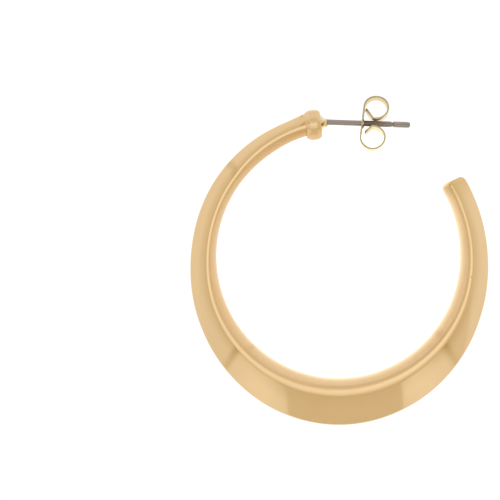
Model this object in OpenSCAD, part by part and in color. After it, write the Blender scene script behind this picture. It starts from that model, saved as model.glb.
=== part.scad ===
// C-hoop earring with a double-bevelled rim, lying on its side.
// The C is one solid casting. Its inside is softly rounded, a rounded crest runs round each face,
// and from the crests two flat bevels meet in a rim that stands deepest at the bottom of the C.
// A bead-shaped cap closes its upper end and carries the ear post, with a butterfly clutch on it.
// X runs along the post, Y up the C and Z out of its face. The underside is at z = 0.

/* [Hoop] */
// Radius of the round opening
opening_r = 14.48; // [14:0.02:15]
// Depth of the slim arms, from the opening to the rim
arm_depth = 2.6; // [2.5:0.05:2.8]
// Depth at the deepest place, from the opening to the rim
bottom_depth = 5.65; // [5:0.05:6.5]
// Thickness across both faces at the deepest place
bottom_w = 4.84; // [4.4:0.02:5.4]
// Rounding of the free tip
tip_round = 0.65; // [0.3:0.05:0.8]

/* [End cap] */
// Diameter of the bead-shaped cap
cap_d = 3.74; // [3.6:0.02:4.2]
// Thickness of the cap along its axis
cap_w = 1.75; // [1.6:0.05:2.2]
// Rounding of the cap's edges
cap_edge = 0.6; // [0.2:0.05:0.7]
// Tilt of the cap's axis above the post's
cap_tilt = 11.5; // [9:0.5:13]
// Diameter of the tenon that holds the cap
tenon_d = 1.9; // [1.6:0.05:2]
// Length of the tenon
tenon_len = 0.95; // [0.6:0.05:1]

/* [Post] */
// Diameter of the post
post_d = 0.67; // [0.6:0.01:0.68]
// Diameter of the post's tip, beyond the groove
post_tip_d = 0.7; // [0.66:0.01:0.7]
// Length of the post outside its cup
post_len = 9.87; // [9.4:0.01:11]
// Depth of the post in its cup
post_seat = 0.78; // [0.6:0.02:0.8]
// Diameter at the bottom of the clutch groove
groove_d = 0.5; // [0.4:0.02:0.6]

/* [Clutch] */
// Thickness of the strip
strip_t = 0.2; // [0.18:0.01:0.26]
// Width of the strip
strip_w = 4.2; // [3.6:0.05:4.6]
// Rounding of the strip's corners, seen along the post
strip_corner = 1.15; // [0.6:0.05:1.4]
// Radius of the upper scroll, to the middle of the strip
upper_r = 1.35; // [1.25:0.01:1.4]
// Radius of the lower scroll, to the middle of the strip
lower_r = 1.33; // [1.2:0.01:1.35]
// Distance from the cup to the upper scroll's centre
clutch_at = 5.73; // [5.2:0.01:6.2]

/* [Fits] */
// Gap between pieces that are fixed to each other
seat_gap = 0.02; // [0.01:0.01:0.03]
// Gap between the post and the clutch's hole
hole_gap = 0.05; // [0.03:0.01:0.08]
// Gap between the post and the scrolls that grip it
grip_gap = 0.04; // [0.03:0.01:0.06]

/* [Hidden] */
$fn = 64;

// One row for each section of the C, counted round from the post's side: the angle, the lift of
// the inner edge, the share of the extra depth at the bottom, the height of the crest over the
// inner edge, the share of the full width, the roundings of crest and rim, and the section's lean
SECTIONS = [
    [105, 0.10, 0.08, 1.18, 0.590, 0.60, 1.00, 4],
    [113, 0.04, 0.01, 1.16, 0.605, 0.50, 0.60, 3],
    [126, 0.00, 0.00, 1.07, 0.640, 0.44, 0.32, 0],
    [150, 0.00, 0.04, 0.91, 0.740, 0.42, 0.26, 0],
    [180, 0.00, 0.14, 1.04, 0.845, 0.42, 0.34, 0],
    [205, 0.00, 0.38, 1.33, 0.910, 0.52, 0.38, 0],
    [230, 0.00, 0.68, 1.58, 0.955, 0.74, 0.32, 0],
    [252, 0.00, 0.91, 1.70, 0.988, 0.98, 0.28, 0],
    [274, 0.00, 1.00, 1.74, 1.000, 1.08, 0.28, 0],
    [296, 0.00, 0.90, 1.65, 0.992, 0.95, 0.28, 0],
    [318, 0.00, 0.69, 1.54, 0.959, 0.72, 0.28, 0],
    [340, 0.00, 0.43, 1.46, 0.926, 0.52, 0.28, 0],
    [362, 0.00, 0.24, 1.26, 0.890, 0.42, 0.28, 0],
    [380, 0.03, 0.17, 1.15, 0.855, 0.36, 0.28, 3],
    [396, 0.12, 0.15, 1.14, 0.815, 0.36, 0.30, 9],
];
LIFT = 1;
DEPTH = 2;
CREST = 3;
WIDTH = 4;
CREST_ROUND = 5;
RIM_ROUND = 6;
LEAN = 7;
cap_angle = 105.8;
tip_angle = 395.8;
ring_step = 4;
inner_steps = 5;
crest_steps = 5;
rim_steps = 4;
tip_steps = 4;
// Where the tip's rounding closes, as a share of the depth from the inner edge
tip_middle = 0.6;

// Smooth value of a column at an angle, on a cubic through the rows
function row_before(angle, row = 0) =
    row >= len(SECTIONS) - 2 || angle < SECTIONS[row + 1][0] ? row : row_before(angle, row + 1);
function slope(row, column) = let(
    before = SECTIONS[max(row - 1, 0)],
    after = SECTIONS[min(row + 1, len(SECTIONS) - 1)])
    (after[column] - before[column]) / (after[0] - before[0]);
function value(angle, column) = let(
    row = row_before(angle),
    low = SECTIONS[row],
    high = SECTIONS[row + 1],
    span = high[0] - low[0],
    t = (angle - low[0]) / span)
    low[column] * (2 * t ^ 3 - 3 * t ^ 2 + 1) + high[column] * (3 * t ^ 2 - 2 * t ^ 3)
    + span * (slope(row, column) * (t ^ 3 - 2 * t ^ 2 + t) + slope(row + 1, column) * (t ^ 3 - t ^ 2));

function inner_r(angle) = opening_r + value(angle, LIFT);
function depth(angle) = arm_depth + (bottom_depth - arm_depth) * value(angle, DEPTH);
function rim_r(angle) = inner_r(angle) + depth(angle);
function half_w(angle) = bottom_w / 2 * value(angle, WIDTH);

// Upper half of a section, from the inner edge over the crest to the rim, as [radius, height]:
// a wide arc, the crest's arc, the straight bevel and the rim's arc, each tangent to the next
function upper_half(angle) = let(
    inner = inner_r(angle),
    crest_round = value(angle, CREST_ROUND),
    rim_round = value(angle, RIM_ROUND),
    crest = [value(angle, CREST), half_w(angle) - crest_round],
    rim = [depth(angle) - rim_round, 0],
    bulge = (crest * crest - crest_round ^ 2) / (2 * (crest[0] - crest_round)),
    wide_end = atan2(crest[1], crest[0] - bulge),
    across = rim - crest,
    bevel = atan2(across[1], across[0]) + acos((crest_round - rim_round) / norm(across)))
    concat(
        [for (step = [0:inner_steps]) let(turn = 180 + (wide_end - 180) * step / inner_steps)
            [inner + bulge + bulge * cos(turn), bulge * sin(turn)]],
        [for (step = [1:crest_steps]) let(turn = wide_end + (bevel - wide_end) * step / crest_steps)
            [inner + crest[0] + crest_round * cos(turn), crest[1] + crest_round * sin(turn)]],
        [for (step = [0:rim_steps]) let(turn = bevel * (1 - step / rim_steps))
            [inner + rim[0] + rim_round * cos(turn), rim_round * sin(turn)]]);
function section(angle) = let(upper = upper_half(angle), last = len(upper) - 1)
    concat(upper, [for (point = [last - 1:-1:1]) [upper[point][0], -upper[point][1]]]);

// A section stood in its place round the hoop's centre, shrunk by an inset for the rounded tip
function ring(angle, inset = 0) = let(
    middle = inner_r(angle) + tip_middle * depth(angle),
    lean = tan(value(angle, LEAN)),
    crest_r = inner_r(angle) + value(angle, CREST))
    [for (point = section(angle)) let(
        u = middle + (point[0] - middle) * (1 - 2 * inset / depth(angle)),
        v = point[1] * (1 - inset / half_w(angle)),
        back = lean * (u - crest_r))
        [u * cos(angle) + back * sin(angle), u * sin(angle) - back * cos(angle), v]];

// The cap's axis points along the C's end, towards the post
cap_axis = [cos(cap_tilt), sin(cap_tilt), 0];
cap_side = [-sin(cap_tilt), cos(cap_tilt), 0];
end_ring = ring(cap_angle);
end_mid = (end_ring[0] + end_ring[len(section(cap_angle)) / 2]) / 2;
cap_mid = end_mid + cap_axis * (seat_gap + cap_w / 2);
tenon_r = tenon_d / 2;
function tenon_ring(along) = [for (point = end_ring) let(
    out = point - end_mid,
    turn = atan2(out[2], out * cap_side))
    end_mid + cap_axis * along + tenon_r * (cos(turn) * cap_side + sin(turn) * [0, 0, 1])];

tip_turn = tip_round / opening_r * 180 / PI;
rounded_from = tip_angle - tip_turn;
ring_count = ceil((rounded_from - cap_angle) / ring_step);
RINGS = concat(
    [tenon_ring(tenon_len), tenon_ring(0)],
    [for (count = [0:ring_count]) ring(cap_angle + (rounded_from - cap_angle) * count / ring_count)],
    [for (step = [1:tip_steps]) let(turn = 90 * step / tip_steps)
        ring(rounded_from + tip_turn * sin(turn), tip_round * (1 - cos(turn)))]);

// The whole part is centred on its box, with its underside at z = 0
post_y = 15.86;
cup_x = -1.86;
grip_y = post_d / 2 + grip_gap + strip_t / 2;
upper_at = [cup_x + clutch_at, post_y + grip_y + upper_r];
lower_at = [upper_at[0] - 0.31, post_y - grip_y - lower_r];
across_xs = [for (angle = [cap_angle:tip_angle]) rim_r(angle) * cos(angle)];
down_ys = [for (angle = [cap_angle:tip_angle]) rim_r(angle) * sin(angle)];
part_top = upper_at[1] + upper_r + strip_t / 2;
hoop_at = [-(max(across_xs) + min(across_xs)) / 2, -(part_top + min(down_ys)) / 2, bottom_w / 2];

// Lengths that are seen or felt but seldom changed
cup_r = 0.45;
cup_len = 1.05;
cup_neck = 0.3;
solder_r = 0.55;
groove_from = 7.7;
groove_w = 0.26;
taper_w = 0.39;
taper_d = 0.62;
dimple_r = 0.85;
dimple_top_r = 0.56;
dimple_h = 0.42;
bend_r = 0.26;
plate_t = strip_t + 0.02;
into_plate = 3;
upper_flare = [0.16, 1.1, 48];
lower_flare = [0.2, 0.92, 44];
cut = 10;

// Stands a shape on the post's axis, with its own Z along the post and its foot at x
module on_post(x) {
    translate([x, post_y, 0])
        rotate([0, 90, 0])
            children();
}

// Stands a shape on the cap's axis, with its own Z along the axis and its foot at the cap's back
module on_cap_axis(along) {
    translate(cap_mid + cap_axis * (along - cap_w / 2))
        rotate([0, 0, cap_tilt])
            rotate([0, 90, 0])
                children();
}

// The C itself, swept through its sections, with a tenon at the end that the cap covers
module c_hoop() {
    count = len(RINGS[0]);
    last = len(RINGS) - 1;
    sides = [for (row = [0:last - 1], side = [0:count - 1]) let(
        next = (side + 1) % count,
        low = row * count,
        high = low + count)
        each [[low + side, low + next, high + next], [low + side, high + next, high + side]]];
    start = [for (side = [count - 1:-1:0]) side];
    finish = [for (side = [0:count - 1]) last * count + side];
    color([0.88, 0.74, 0.52])
        polyhedron(points = [for (one = RINGS) each one], faces = concat([start], sides, [finish]));
}

// Outline of the cap from its axis outwards, with rounded edges
module cap_outline() {
    r = cap_d / 2;
    union() {
        square([r - cap_edge, cap_w]);
        translate([0, cap_edge])
            square([r, cap_w - 2 * cap_edge]);
        for (y = [cap_edge, cap_w - cap_edge])
            translate([r - cap_edge, y])
                circle(cap_edge);
    }
}

// Outline of the post's cup from its axis outwards, with a hollow fillet of solder at its foot
module cup_outline() {
    difference() {
        union() {
            square([cup_r, cup_len]);
            square([cup_r + solder_r, cup_len - cup_neck]);
        }
        translate([cup_r + solder_r, cup_len - cup_neck])
            circle(solder_r);
    }
}

// The bead-shaped cap with the post's cup on it, bored for the tenon and for the post
module end_cap() {
    color([0.9, 0.77, 0.56])
        difference() {
            union() {
                on_cap_axis(0)
                    rotate_extrude()
                        cap_outline();
                on_post(cup_x - cup_len)
                    rotate_extrude()
                        cup_outline();
            }
            on_cap_axis(-cut)
                cylinder(h = cut + tenon_len + seat_gap, r = tenon_r + seat_gap);
            on_post(cup_x - post_seat - seat_gap)
                cylinder(h = cut, r = post_d / 2 + seat_gap);
        }
}

// Stretch of the post between two distances from its cup, with its diameter at each
module stretch(from, to, from_d, to_d) {
    on_post(cup_x + from)
        cylinder(h = to - from, d1 = from_d, d2 = to_d);
}

// The straight post, tapered into a groove for the clutch before its round tip
module ear_post() {
    taper_from = groove_from - taper_w;
    groove_mid = groove_from + groove_w / 2;
    tip_from = groove_from + groove_w;
    tip_to = post_len - post_tip_d / 2;
    color([0.58, 0.54, 0.52])
        union() {
            stretch(-post_seat, taper_from, post_d, post_d);
            stretch(taper_from, groove_from, post_d, taper_d);
            stretch(groove_from, groove_mid, taper_d, groove_d);
            stretch(groove_mid, tip_from, groove_d, post_tip_d);
            stretch(tip_from, tip_to, post_tip_d, post_tip_d);
            on_post(cup_x + tip_to)
                sphere(d = post_tip_d);
        }
}

// Wedge that opens to the given angles round a point, wider than any scroll
module wedge(from, to) {
    polygon([[0, 0], for (share = [0:3]) let(turn = from + (to - from) * share / 3)
        cut * [cos(turn), sin(turn)]]);
}

// Ring of the strip's thickness round a point
module band(r) {
    difference() {
        circle(r + strip_t / 2);
        circle(r - strip_t / 2);
    }
}

// One scroll in its upper form: open towards the plate, then bent off the post into a flared end.
// The flare gives how far the bend lies left of the scroll's centre, its length and its turn.
module scroll(r, open_from, flare) {
    difference() {
        band(r);
        wedge(open_from, 270);
    }
    translate([-flare[0], -r - strip_t / 2])
        square([flare[0], strip_t]);
    translate([-flare[0], bend_r - r]) {
        intersection() {
            band(bend_r);
            wedge(270 - flare[2], 270);
        }
        rotate(-flare[2])
            translate([-flare[1], -bend_r - strip_t / 2])
                square([flare[1], strip_t]);
    }
}

// Straight plate between two points, a little thicker than the strip so that it takes its ends in
module plate(start, end) {
    along = end - start;
    translate(start)
        rotate(atan2(along[1], along[0]))
            translate([0, -plate_t / 2])
                square([norm(along), plate_t]);
}

// Side view of the clutch: a plate tangent to both scrolls on their cup side
module clutch_side() {
    between = upper_at - lower_at;
    tangent = atan2(between[1], between[0]) + acos((lower_r - upper_r) / norm(between));
    radial = [cos(tangent), sin(tangent)];
    plate(lower_at + lower_r * radial, upper_at + upper_r * radial);
    translate(upper_at)
        scroll(upper_r, tangent + into_plate, upper_flare);
    translate(lower_at)
        mirror([0, 1])
            scroll(lower_r, 360 - tangent + into_plate, lower_flare);
}

// Rounded outline of the clutch as seen along the post, with its width across
module clutch_front() {
    low = lower_at[1] - lower_r - strip_t;
    high = upper_at[1] + upper_r + strip_t;
    x = strip_w / 2 - strip_corner;
    union() {
        translate([-strip_w / 2, low + strip_corner])
            square([strip_w, high - low - 2 * strip_corner]);
        translate([-x, low])
            square([2 * x, high - low]);
        for (side = [-x, x], y = [low + strip_corner, high - strip_corner])
            translate([side, y])
                circle(strip_corner);
    }
}

// The clutch: one strip, scrolled at both ends, with a dimpled hole that slides on the post
module butterfly_clutch() {
    plate_x = (upper_at[0] + lower_at[0] - upper_r - lower_r) / 2;
    color([0.9, 0.82, 0.6])
        difference() {
            union() {
                intersection() {
                    linear_extrude(strip_w, center = true)
                        clutch_side();
                    rotate([0, 90, 0])
                        linear_extrude(cut)
                            clutch_front();
                }
                on_post(plate_x)
                    cylinder(h = dimple_h, r1 = dimple_r, r2 = dimple_top_r);
            }
            on_post(plate_x - dimple_h)
                cylinder(h = 2.1 * dimple_h, r = post_d / 2 + hole_gap);
        }
}

translate(hoop_at) c_hoop();
translate(hoop_at) end_cap();
translate(hoop_at) ear_post();
translate(hoop_at) butterfly_clutch();
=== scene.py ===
"""C-hoop earring with a double-bevelled rim, a bead cap, a straight post and a butterfly clutch.

It lies on its side on a pale floor in a light tent, seen from straight above. Pieces are made in
millimetres round the middle of the hoop, with X along the post, and are then put in the frame.
"""

import math

import bmesh
import bpy
import numpy as np
from mathutils import Matrix, Vector, noise


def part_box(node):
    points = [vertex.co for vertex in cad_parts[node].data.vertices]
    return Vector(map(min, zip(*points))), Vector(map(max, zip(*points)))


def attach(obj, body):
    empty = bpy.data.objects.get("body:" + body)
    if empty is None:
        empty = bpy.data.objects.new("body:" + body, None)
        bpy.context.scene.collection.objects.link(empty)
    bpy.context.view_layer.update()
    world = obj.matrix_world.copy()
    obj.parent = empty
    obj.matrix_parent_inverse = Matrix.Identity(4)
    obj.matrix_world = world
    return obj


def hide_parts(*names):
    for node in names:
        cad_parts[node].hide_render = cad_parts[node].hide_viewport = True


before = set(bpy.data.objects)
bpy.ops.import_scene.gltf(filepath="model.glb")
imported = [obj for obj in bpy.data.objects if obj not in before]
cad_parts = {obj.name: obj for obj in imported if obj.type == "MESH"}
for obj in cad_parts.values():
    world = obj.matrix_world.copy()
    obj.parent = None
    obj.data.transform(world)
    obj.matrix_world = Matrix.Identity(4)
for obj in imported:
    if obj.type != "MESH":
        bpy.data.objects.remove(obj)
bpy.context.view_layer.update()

bl_info = {
    "name": "C-hoop earring",
    "version": (1, 0, 0),
    "blender": (4, 5, 0),
    "location": "View3D > Sidebar > Earring",
    "description": "Makes a gold C-hoop earring with its post and clutch, and a light tent round it",
    "category": "Add Mesh",
}

MM = 0.001
# Edges that turn by more than this stay crisp, in degrees
SHARP_FROM = 40

# Where the post lies from the middle of the hoop, and where its cup ends
POST_Y = 15.86
POST_END_X = 8.01
CUP_X = -1.86

# The middle of the hoop in the frame, found from the post
post_low, post_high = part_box("ear_post")
HOOP_AT = Vector((
    post_high.x - POST_END_X * MM,
    (post_low.y + post_high.y) / 2 - POST_Y * MM,
    (post_low.z + post_high.z) / 2,
))

# One row for each section of the C, by its angle round the middle from the post's direction. Lift
# is how far its inner edge lies outside the round opening, crest how far from that edge the middle
# of the crest's arc lies, and lean its tilt. Depth goes from the slim arms' at 0 to the bottom's at
# 1, and width is a share of the bottom's. Angles are in degrees and lengths in millimetres.
COLUMNS = ("angle", "lift", "depth", "crest", "width", "crest_round", "rim_round", "lean")
SECTIONS = (
    (105, 0.26, 0.02, 1.02, 0.590, 0.56, 1.00, 4),
    (113, 0.19, -0.06, 1.01, 0.605, 0.47, 0.60, 3),
    (126, 0.05, -0.02, 1.02, 0.640, 0.44, 0.32, 0),
    (150, 0.00, 0.04, 0.87, 0.740, 0.40, 0.26, 0),
    (180, 0.00, 0.14, 0.96, 0.845, 0.40, 0.34, 0),
    (205, 0.00, 0.38, 1.33, 0.910, 0.52, 0.38, 0),
    (230, 0.00, 0.68, 1.58, 0.955, 0.74, 0.32, 0),
    (252, 0.00, 0.91, 1.70, 0.988, 0.98, 0.28, 0),
    (274, 0.00, 1.00, 1.74, 1.000, 1.08, 0.28, 0),
    (296, 0.00, 0.90, 1.70, 0.992, 0.99, 0.28, 0),
    (318, 0.00, 0.69, 1.60, 0.959, 0.77, 0.28, 0),
    (340, 0.00, 0.43, 1.46, 0.926, 0.52, 0.28, 0),
    (362, 0.00, 0.24, 1.26, 0.890, 0.42, 0.28, 0),
    (380, 0.08, 0.155, 1.10, 0.855, 0.36, 0.28, 3),
    (396, 0.19, 0.13, 1.07, 0.815, 0.36, 0.30, 9),
)
START_ANGLE = 105.4
TIP_ANGLE = 395.8
# Where the ends close, as a share of the depth from the inner edge
MIDDLE = 0.6
# Shares of the way from the inner edge to the rim at which the inner arc, crest and bevel end
ARC_ENDS = (0.36, 0.64, 0.80)
# Mean way round a section, and radius of the crest, for patterns at their true size
GIRTH = 11
CREST_RADIUS = 15.8
# Small pits: angle in degrees, share of the way round the section, and radius in millimetres
PITS = ((106.9, 0.44, 0.15), (107.6, 0.41, 0.07), (352.9, 0.24, 0.13))
# Faint darker patches inside: angle, share of the way from the inner edge to the rim, and reach
DARKER_PATCHES = ((115, 0.30, 0.6), (228.3, 0.20, 0.7), (324, 0.22, 0.9))
# Shares of the way from the inner edge to the rim over which the inside's paler gold, a painted
# highlight, and its rough finish end, and over which the painted shade beside the crest starts and ends
INSIDE_END = (0.26, 0.40)
ROUGH_END = (0.34, 0.47)
SHADE_BAND_START = (0.58, 0.64)
SHADE_BAND_END = (0.64, 0.74)
# Angles in radians over which the slim arms pass into the deep bottom, on either side, and over which
# the painted shade inside beside the cap fades, and how far before the tip the gold darkens
ARMS_END = ((3.80, 4.05), (5.32, 5.60))
CAP_SHADE_FADE = (1.83, 4.62)
TIP_DARKENS = (0.18, 0.02)
# A line of painted shade inside the crest: its share and reach, and the angles over which it starts
CREST_SHADE_LINE = (0.342, 0.045)
SHADE_LINE_START = (3.9, 5.0)
# A painted reflection of a dark seam across the bevel: its angle and reach, and the shares over which
# it starts
SEAM_REFLECTION = (2.475, 0.05)
SEAM_REFLECTION_START = (0.56, 0.66)

# The cap's middle, and the tilts of its axis and of the soldered cup's above the post's, in degrees
CAP_AT = Vector((-3.47, 15.46, 0))
CAP_TILT = 8.5
CUP_TILT = 8
# How far inwards of its middle the cap starts to be duller and is dullest
CAP_DULL = (0.5, 1.3)
# How far the cup sits below the post's axis, and how far behind its mouth its cone ends, its foot
# starts and its hidden end lies
CUP_DROP = 0.05
CUP_STEPS = (0.36, 0.84, 1.5)
# The burnt spot on the solder, from where the post leaves the cup
BURNT_AT = (-0.62, -0.36, 0.74)
# Degrees round the cap: how far its narrow top lies inwards of a face's middle, half the top's
# reach, and how far beside it the broad flats are lowest. They drop by shares of the radius, on
# the outer side and on the inner one.
TOP_BACK = 8
TOP_REACH = 9
FLAT_AT = 50
FLAT_DROPS = (0.11, 0.04)


def math_node(operation):
    """A method that adds one Math node, with the value itself as its first number."""
    return lambda value, *others: value.math(operation, *others)


class Value:
    """A number socket. Arithmetic on it adds Math nodes to its tree."""

    __add__ = __radd__ = math_node("ADD")
    __mul__ = __rmul__ = math_node("MULTIPLY")
    __sub__ = math_node("SUBTRACT")
    __truediv__ = math_node("DIVIDE")
    __pow__ = math_node("POWER")
    __abs__ = math_node("ABSOLUTE")
    __gt__ = math_node("GREATER_THAN")
    # Held at least or at most at another value
    least = math_node("MAXIMUM")
    most = math_node("MINIMUM")
    sin = math_node("SINE")
    cos = math_node("COSINE")
    root = math_node("SQRT")

    def __init__(self, graph, socket):
        self.graph = graph
        self.socket = socket

    def math(self, operation, *others):
        values = {"Value": self}
        values |= {f"Value_{count:03d}": other for count, other in enumerate(others, 1)}
        return self.graph.add("ShaderNodeMath", {"operation": operation}, values)["Value"]

    def __rsub__(self, other):
        return self.graph.number(other) - self

    def __neg__(self):
        return self * -1

    def within(self, low, high):
        """0 at low, 1 at high and straight between, held at the ends."""
        return ((self - low) / (high - low)).least(0).most(1)

    def smooth(self, low, high):
        """0 at low, 1 at high, with a soft start and end."""
        settings = {"interpolation_type": "SMOOTHSTEP"}
        values = {"Value": self, "From Min": low, "From Max": high}
        return self.graph.add("ShaderNodeMapRange", settings, values)["Result"]

    def near(self, middle, reach):
        """1 at the middle, fading to 0 at a distance of the reach."""
        return 1 - abs(self - middle).smooth(0, reach)

    def to(self, other, share):
        """This value at a share of 0, the other at 1."""
        return self + (other - self) * share


def distance(first, *others):
    """How far a point lies, from its offsets along each axis."""
    total = first ** 2
    for other in others:
        total = total + other ** 2
    return total.root()


def paint(colour):
    """What a colour socket takes: a plain colour's value, or a colour that comes from a node."""
    return colour if isinstance(colour, Value) else (*colour, 1)


class Graph:
    """A node tree, with one method that adds any node."""

    def __init__(self, tree):
        self.tree = tree

    def add(self, kind, settings=None, values=None):
        """Adds a node: its settings first, then a value or a link for each named socket."""
        node = self.tree.nodes.new(kind)
        for name, setting in (settings or {}).items():
            setattr(node, name, setting)
        for name, value in (values or {}).items():
            socket = next(s for s in node.inputs if s.identifier == name)
            if isinstance(value, Value):
                value = value.socket
            if isinstance(value, bpy.types.NodeSocket):
                self.tree.links.new(value, socket)
            else:
                socket.default_value = value
        return Outputs(self, node)

    def number(self, value):
        """A plain number at the left of an expression."""
        values = {"Value": value, "Value_001": 0}
        return self.add("ShaderNodeMath", {"operation": "ADD"}, values)["Value"]

    def vector(self, x, y, z):
        return self.add("ShaderNodeCombineXYZ", None, {"X": x, "Y": y, "Z": z})["Vector"]

    def split(self, vector):
        parts = self.add("ShaderNodeSeparateXYZ", None, {"Vector": vector})
        return parts["X"], parts["Y"], parts["Z"]

    def noise(self, vector, scale=1, detail=2, roughness=0.5):
        values = {"Vector": vector, "Scale": scale, "Detail": detail, "Roughness": roughness}
        return self.add("ShaderNodeTexNoise", None, values)["Fac"]

    def mix(self, share, first, second):
        """The first colour at a share of 0, the second at 1."""
        values = {"Factor_Float": share, "A_Color": paint(first), "B_Color": paint(second)}
        return self.add("ShaderNodeMix", {"data_type": "RGBA"}, values)["Result"]

    def layers(self, colour, *layers):
        """A colour with others laid over it in turn, each given as its share and its colour."""
        for share, over in layers:
            colour = self.mix(share, colour, over)
        return colour

    def colour(self, red, green, blue):
        values = {"Red": red, "Green": green, "Blue": blue}
        return self.add("ShaderNodeCombineColor", None, values)["Color"]

    def turned(self, along, share, radius):
        """Where a pattern is read so that it closes round a turned piece."""
        turn = share * (2 * math.pi)
        return self.vector(along, turn.cos() * radius, turn.sin() * radius)

    def bump(self, height, depth):
        """The normal of a relief whose height goes from 0 to 1 over a depth in millimetres."""
        values = {"Height": height, "Distance": depth * MM, "Strength": 1}
        return self.add("ShaderNodeBump", None, values)["Normal"]

    def pattern(self):
        """The piece's own UV map, split in two."""
        u, v, _ = self.split(self.add("ShaderNodeUVMap", {"uv_map": "UVMap"})["UV"])
        return u, v

    def place(self, origin=(0, 0, 0)):
        """Millimetres from a place that is given from the middle of the hoop."""
        point = self.add("ShaderNodeTexCoord")["Object"]
        start = HOOP_AT + Vector(origin) * MM
        moved = self.add("ShaderNodeVectorMath", {"operation": "SUBTRACT"}, {
            "Vector": point,
            "Vector_001": start,
        })["Vector"]
        values = {"Vector": moved, "Scale": 1 / MM}
        return self.add("ShaderNodeVectorMath", {"operation": "SCALE"}, values)["Vector"]


class Outputs:
    """The outputs of one node by name, each ready for arithmetic."""

    def __init__(self, graph, node):
        self.graph = graph
        self.node = node

    def __getitem__(self, name):
        socket = next(s for s in self.node.outputs if s.enabled and s.name == name)
        return Value(self.graph, socket)


# Geometry Nodes

# Points that lie closer than this are joined where a sweep closes, in millimetres
MERGE_WITHIN = 0.0005


def new_tree(name, inputs):
    """A Geometry Nodes tree with a geometry in and out, and inputs named under their kinds."""
    tree = bpy.data.node_groups.new(name, "GeometryNodeTree")
    tree.interface.new_socket("Geometry", in_out="INPUT", socket_type="NodeSocketGeometry")
    for kind, labels in inputs.items():
        for label in labels:
            tree.interface.new_socket(label, in_out="INPUT", socket_type="NodeSocket" + kind)
    tree.interface.new_socket("Geometry", in_out="OUTPUT", socket_type="NodeSocketGeometry")
    graph = Graph(tree)
    return graph, graph.add("NodeGroupInput")


def sampler(graph, geometry):
    """A function that reads a named number of one of the geometry's points."""
    def sample(name, index):
        named = graph.add("GeometryNodeInputNamedAttribute", {"data_type": "FLOAT"}, {"Name": name})
        return graph.add(
            "GeometryNodeSampleIndex",
            {"data_type": "FLOAT", "domain": "POINT"},
            {"Geometry": geometry, "Value": named["Attribute"], "Index": index},
        )["Value"]

    return sample


def sweep_grid(graph, along, around):
    """A grid to be bent into a tube, with its steps along and its share of the way round."""
    mesh = graph.add("GeometryNodeMeshGrid", None, {
        "Size X": 1,
        "Size Y": 1,
        "Vertices X": along + 1,
        "Vertices Y": around + 1,
    })["Mesh"]
    x, y, _ = graph.split(graph.add("GeometryNodeInputPosition")["Position"])
    return mesh, (x + 0.5) * along, y + 0.5


def finish_sweep(graph, grid, place, pattern, material):
    """Bends the grid into place with its UV map, closes its seam and ends the tree."""
    stored = graph.add(
        "GeometryNodeStoreNamedAttribute",
        {"data_type": "FLOAT2", "domain": "CORNER"},
        {"Geometry": grid, "Name": "UVMap", "Value": pattern},
    )["Geometry"]
    steps = (
        ("GeometryNodeSetPosition", {"Position": place}),
        ("GeometryNodeMergeByDistance", {"Distance": MERGE_WITHIN}),
        ("GeometryNodeRealizeInstances", {}),
        ("GeometryNodeSetMaterial", {"Material": material}),
    )
    for kind, values in steps:
        stored = graph.add(kind, None, {"Geometry": stored, **values})["Geometry"]
    output = graph.tree.nodes.new("NodeGroupOutput")
    graph.tree.links.new(stored.socket, output.inputs["Geometry"])
    return graph.tree


def points_mesh(name, columns):
    """Loose points that carry a number for each named column."""
    mesh = bpy.data.meshes.new(name)
    mesh.vertices.add(len(next(iter(columns.values()))))
    for label, numbers in columns.items():
        attribute = mesh.attributes.new(label, "FLOAT", "POINT")
        attribute.data.foreach_set("value", np.asarray(numbers, np.float32))
    return mesh


def add_object(name, data):
    thing = bpy.data.objects.new(name, data)
    bpy.context.scene.collection.objects.link(thing)
    return thing


def run_tree(mesh, tree, name, values):
    """Runs a tree on a mesh and returns the plain mesh that it makes."""
    maker = add_object(name + "_maker", mesh)
    modifier = maker.modifiers.new("shape", "NODES")
    modifier.node_group = tree
    for item in tree.interface.items_tree:
        if item.in_out == "INPUT" and item.name in values:
            modifier[item.identifier] = values[item.name]
    made = evaluated(maker)
    bpy.data.objects.remove(maker)
    if not made.polygons:
        raise RuntimeError(f"the tree for {name} made no faces")
    return made


def evaluated(thing):
    """The mesh of an object with its modifiers applied."""
    graph = bpy.context.evaluated_depsgraph_get()
    return bpy.data.meshes.new_from_object(
        thing.evaluated_get(graph), preserve_all_data_layers=True, depsgraph=graph
    )


# The hoop's own surface, as a sweep of its sections

HOOP_INPUTS = {
    "Float": (
        "Opening Radius", "Arm Depth", "Bottom Depth", "Bottom Width", "Tip Rounding", "Bevel Crown",
        "Waviness",
    ),
    "Int": ("Rings per Row", "Tip Rings", "Closing Rings", "Points Around"),
    "Material": ("Material",),
}


def section_rows():
    """One point for each section, with every column and its slope."""
    rows = np.array(SECTIONS, float)
    for name in ("angle", "lean"):
        rows[:, COLUMNS.index(name)] = np.radians(rows[:, COLUMNS.index(name)])
    before = rows[[max(row - 1, 0) for row in range(len(rows))]]
    after = rows[[min(row + 1, len(rows) - 1) for row in range(len(rows))]]
    slopes = (after - before) / (after[:, :1] - before[:, :1])
    columns = {name: rows[:, column] for column, name in enumerate(COLUMNS)}
    columns |= {name + "_slope": slopes[:, column] for column, name in enumerate(COLUMNS)}
    return points_mesh("hoop_rows", columns)


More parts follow.
